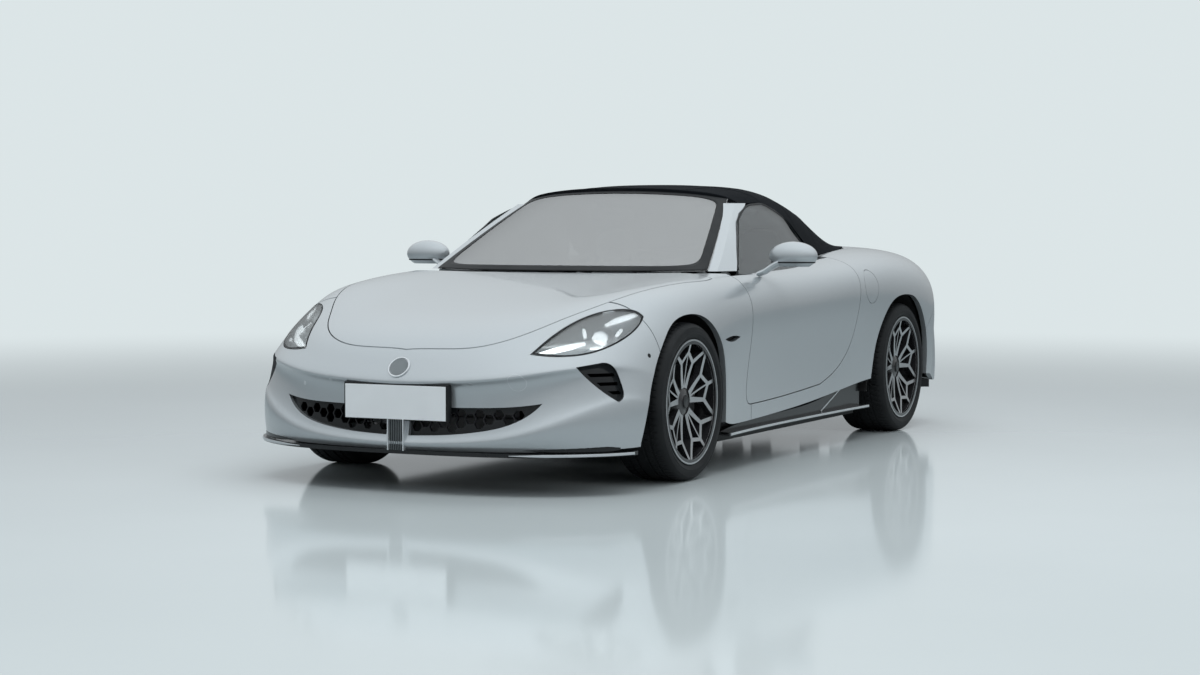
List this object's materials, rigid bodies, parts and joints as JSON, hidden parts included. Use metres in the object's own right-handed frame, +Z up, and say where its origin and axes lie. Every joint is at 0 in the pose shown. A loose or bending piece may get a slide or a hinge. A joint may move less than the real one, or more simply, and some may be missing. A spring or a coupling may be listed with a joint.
{
  "type": "roadster convertible",
  "caption": "Two-seat roadster with a closed fabric roof, hinged doors, bonnet and boot lid, steered front wheels and rolling wheels",
  "frame": {"origin": "centre of the car's box in plan, on the ground under the tyres", "axes": "+X to the car's left, front faces -Y, +Z up"},
  "size_m": [2.203, 4.5341, 1.3],
  "materials": {
    "paint": "metallic",
    "black_trim": "gloss",
    "dark_plastic": "matte",
    "structure": "satin",
    "glass": "clear",
    "lamp": "clear",
    "tail_lamp": "gloss",
    "fabric": "woven",
    "leather": "soft",
    "tyre": "matte",
    "alloy": "machined",
    "iron": "machined"
  },
  "bodies": {
    "chassis": {"fender_left": "paint", "fender_right": "paint", "front_bumper": "paint", "headlamps": "lamp", "lower_grille": "black_trim", "side_intakes": "black_trim", "front_splitter": "black_trim", "quarter_left": "paint", "quarter_right": "paint", "rear_deck": "paint", "rear_bumper": "paint", "tail_lamps": "tail_lamp", "rear_diffuser": "black_trim", "side_skirts": "black_trim", "body_floor": "structure", "windscreen_glass": "glass", "windscreen_frame": "paint", "soft_top": "fabric", "rear_window": "glass", "rear_carriers": "iron", "front_liners": "dark_plastic", "rear_liners": "dark_plastic", "front_subframe": "structure", "rear_subframe": "structure", "front_bulkhead": "structure", "rear_bulkhead": "structure", "dashboard": "leather", "console": "leather", "seat_left": "leather", "seat_right": "leather", "inner_body": "structure", "front_tray": "dark_plastic", "boot_tub": "dark_plastic"},
    "bonnet": {"bonnet": "paint"},
    "boot": {"boot_lid": "paint"},
    "flap": {"charge_flap": "paint"},
    "door_left": {"door_left": "paint", "door_glass_left": "glass", "mirror_left": "paint"},
    "door_right": {"door_right": "paint", "door_glass_right": "glass", "mirror_right": "paint"},
    "steering": {"steering_wheel": "leather"},
    "knuckle_left": {"knuckle_left": "iron"},
    "knuckle_right": {"knuckle_right": "iron"},
    "wheel_fl": {"wheel_front_left": "alloy", "tyre_front_left": "tyre"},
    "wheel_fr": {"wheel_front_right": "alloy", "tyre_front_right": "tyre"},
    "wheel_rl": {"wheel_rear_left": "alloy", "tyre_rear_left": "tyre"},
    "wheel_rr": {"wheel_rear_right": "alloy", "tyre_rear_right": "tyre"}
  },
  "joints": [
    {"name": "roll_front_left", "type": "hinge", "parent": "knuckle_left", "child": "wheel_fl", "pos_m": [0.799, -1.335, 0.34], "axis": [1, 0, 0], "continuous": true},
    {"name": "roll_front_right", "type": "hinge", "parent": "knuckle_right", "child": "wheel_fr", "pos_m": [-0.799, -1.335, 0.34], "axis": [1, 0, 0], "continuous": true},
    {"name": "roll_rear_left", "type": "hinge", "parent": "chassis", "child": "wheel_rl", "pos_m": [0.8, 1.355, 0.34], "axis": [1, 0, 0], "continuous": true},
    {"name": "roll_rear_right", "type": "hinge", "parent": "chassis", "child": "wheel_rr", "pos_m": [-0.8, 1.355, 0.34], "axis": [1, 0, 0], "continuous": true},
    {"name": "steer_left", "type": "hinge", "parent": "chassis", "child": "knuckle_left", "pos_m": [0.69, -1.335, 0.34], "axis": [0, 0, 1], "range_deg": [-30, 30]},
    {"name": "steer_right", "type": "hinge", "parent": "chassis", "child": "knuckle_right", "pos_m": [-0.69, -1.335, 0.34], "axis": [0, 0, 1], "range_deg": [-30, 30]},
    {"name": "steering_wheel_turn", "type": "hinge", "parent": "chassis", "child": "steering", "pos_m": [0.4, -0.33, 0.76], "axis": [0, 0.9135, 0.4067], "range_deg": [-390, 390]},
    {"name": "bonnet_hinge", "type": "hinge", "parent": "chassis", "child": "bonnet", "pos_m": [0, -0.88, 0.875], "axis": [-1, 0, 0], "range_deg": [0, 50]},
    {"name": "boot_hinge", "type": "hinge", "parent": "chassis", "child": "boot", "pos_m": [0, 1.702, 0.984], "axis": [1, 0, 0], "range_deg": [0, 60]},
    {"name": "flap_hinge", "type": "hinge", "parent": "chassis", "child": "flap", "pos_m": [0.94, 0.762, 0.78], "axis": [0, 0, -1], "range_deg": [0, 85]},
    {"name": "door_left_hinge", "type": "hinge", "parent": "chassis", "child": "door_left", "pos_m": [0.8, -0.7, 0.93], "axis": [0.9604, 0.1, -0.2601], "range_deg": [0, 70]},
    {"name": "door_right_hinge", "type": "hinge", "parent": "chassis", "child": "door_right", "pos_m": [-0.8, -0.7, 0.93], "axis": [0.9604, -0.1, 0.2601], "range_deg": [0, 70]}
  ],
  "couplings": [
    {"joint": "steer_right", "follows": "steer_left", "ratio": 1},
    {"joint": "steering_wheel_turn", "follows": "steer_left", "ratio": 13}
  ]
}
